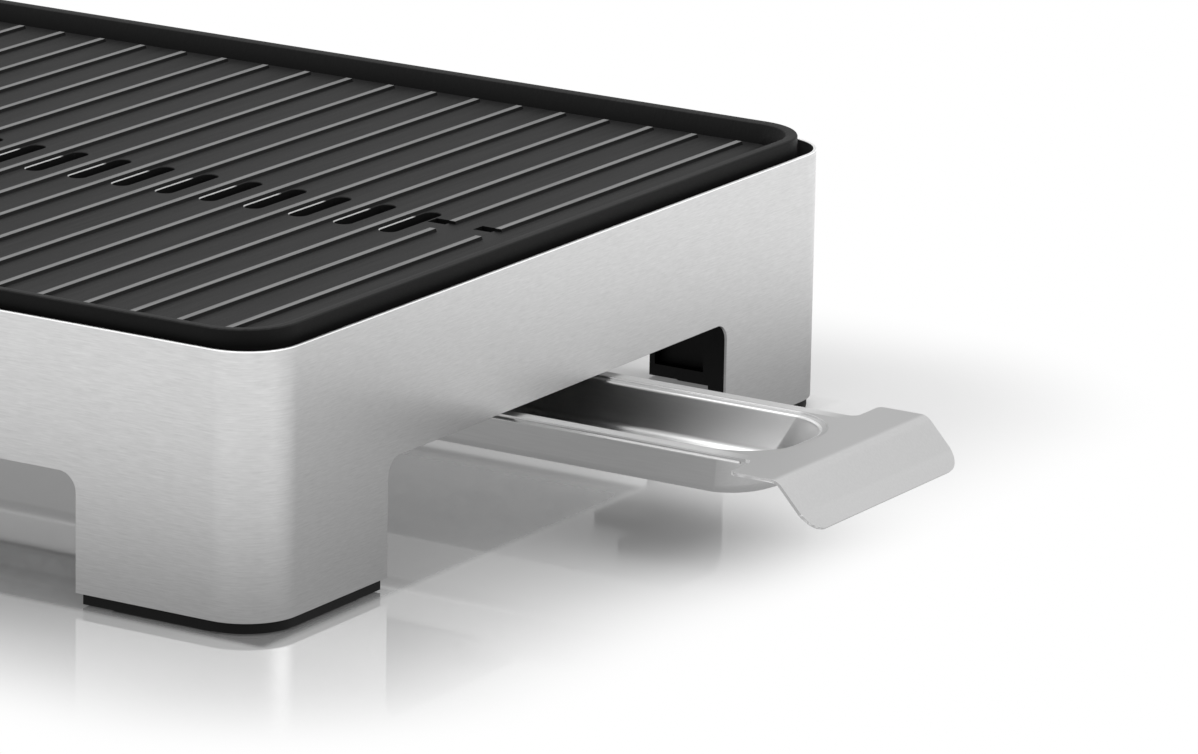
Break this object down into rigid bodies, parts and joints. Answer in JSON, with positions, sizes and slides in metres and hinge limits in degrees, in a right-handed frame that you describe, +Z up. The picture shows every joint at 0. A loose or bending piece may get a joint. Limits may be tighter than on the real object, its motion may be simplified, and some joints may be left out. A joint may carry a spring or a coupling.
{
  "type": "tabletop grill",
  "caption": "Tabletop electric grill with a ribbed cast plate, drain slots, a sheet steel housing on corner legs and a fat drawer that slides out of one end.",
  "frame": {"origin": "on the table, under the middle of the housing", "axes": "+X along the grill, the way the drawer slides out; +Y across it; +Z up"},
  "size_m": [0.6407, 0.33, 0.092],
  "materials": {
    "brushed_steel": "brushed along the wall, satin",
    "tray_steel": "satin, drawn sheet",
    "bright_steel": "bright annealed",
    "zinc_steel": "zinc plated, matt",
    "coated_cast": "black non-stick coating, matt",
    "black_plastic": "moulded, fine matt",
    "pad_rubber": "matt",
    "element_sheath": "oxidised sheath",
    "ceramic": "unglazed ceramic",
    "copper": "plain",
    "brass": "plain",
    "lens_red": "clear red",
    "wire_brown": "silicone, matt",
    "wire_blue": "silicone, matt",
    "wire_green": "silicone, matt"
  },
  "bodies": {
    "base": {"housing_shell": "brushed_steel", "leg_insert_front_left": "black_plastic", "leg_insert_front_right": "black_plastic", "leg_insert_back_left": "black_plastic", "leg_insert_back_right": "black_plastic", "foot_pads": "pad_rubber", "inner_pan": "zinc_steel", "reflector": "bright_steel", "reflector_spacers": "zinc_steel", "support_posts": "zinc_steel", "heating_element": "element_sheath", "element_brackets": "zinc_steel", "element_bushes": "ceramic", "sensor_bulb": "copper", "sensor_clip": "zinc_steel", "control_shield": "zinc_steel", "rail_near": "zinc_steel", "rail_far": "zinc_steel", "thermostat": "ceramic", "thermostat_bracket": "zinc_steel", "knob_bezel": "black_plastic", "pilot_lens": "lens_red", "pilot_lamp": "black_plastic", "appliance_inlet": "black_plastic", "inlet_pins": "brass", "thermal_fuse": "ceramic", "wire_live": "wire_brown", "wire_switched": "wire_brown", "wire_neutral": "wire_blue", "wire_earth": "wire_green", "pan_screws": "zinc_steel", "spacer_screws": "zinc_steel", "mount_screws": "zinc_steel", "rail_rivets": "zinc_steel", "inlet_screws": "zinc_steel"},
    "drawer": {"drip_tray": "tray_steel"},
    "plate": {"grill_plate": "coated_cast", "plate_rim": "coated_cast", "drip_skirt": "coated_cast"},
    "knob": {"control_shaft": "zinc_steel", "control_knob": "black_plastic"}
  },
  "joints": [
    {"name": "drawer_slide", "type": "slide", "parent": "base", "child": "drawer", "axis": [1, 0, 0], "range_m": [-0.087, 0.39]},
    {"name": "plate_lift", "type": "slide", "parent": "base", "child": "plate", "axis": [0, 0, 1], "range_m": [0, 0.12]},
    {"name": "knob_turn", "type": "hinge", "parent": "base", "child": "knob", "pos_m": [-0.259, 0, 0.063], "axis": [-1, 0, 0], "range_deg": [0, 270]}
  ]
}
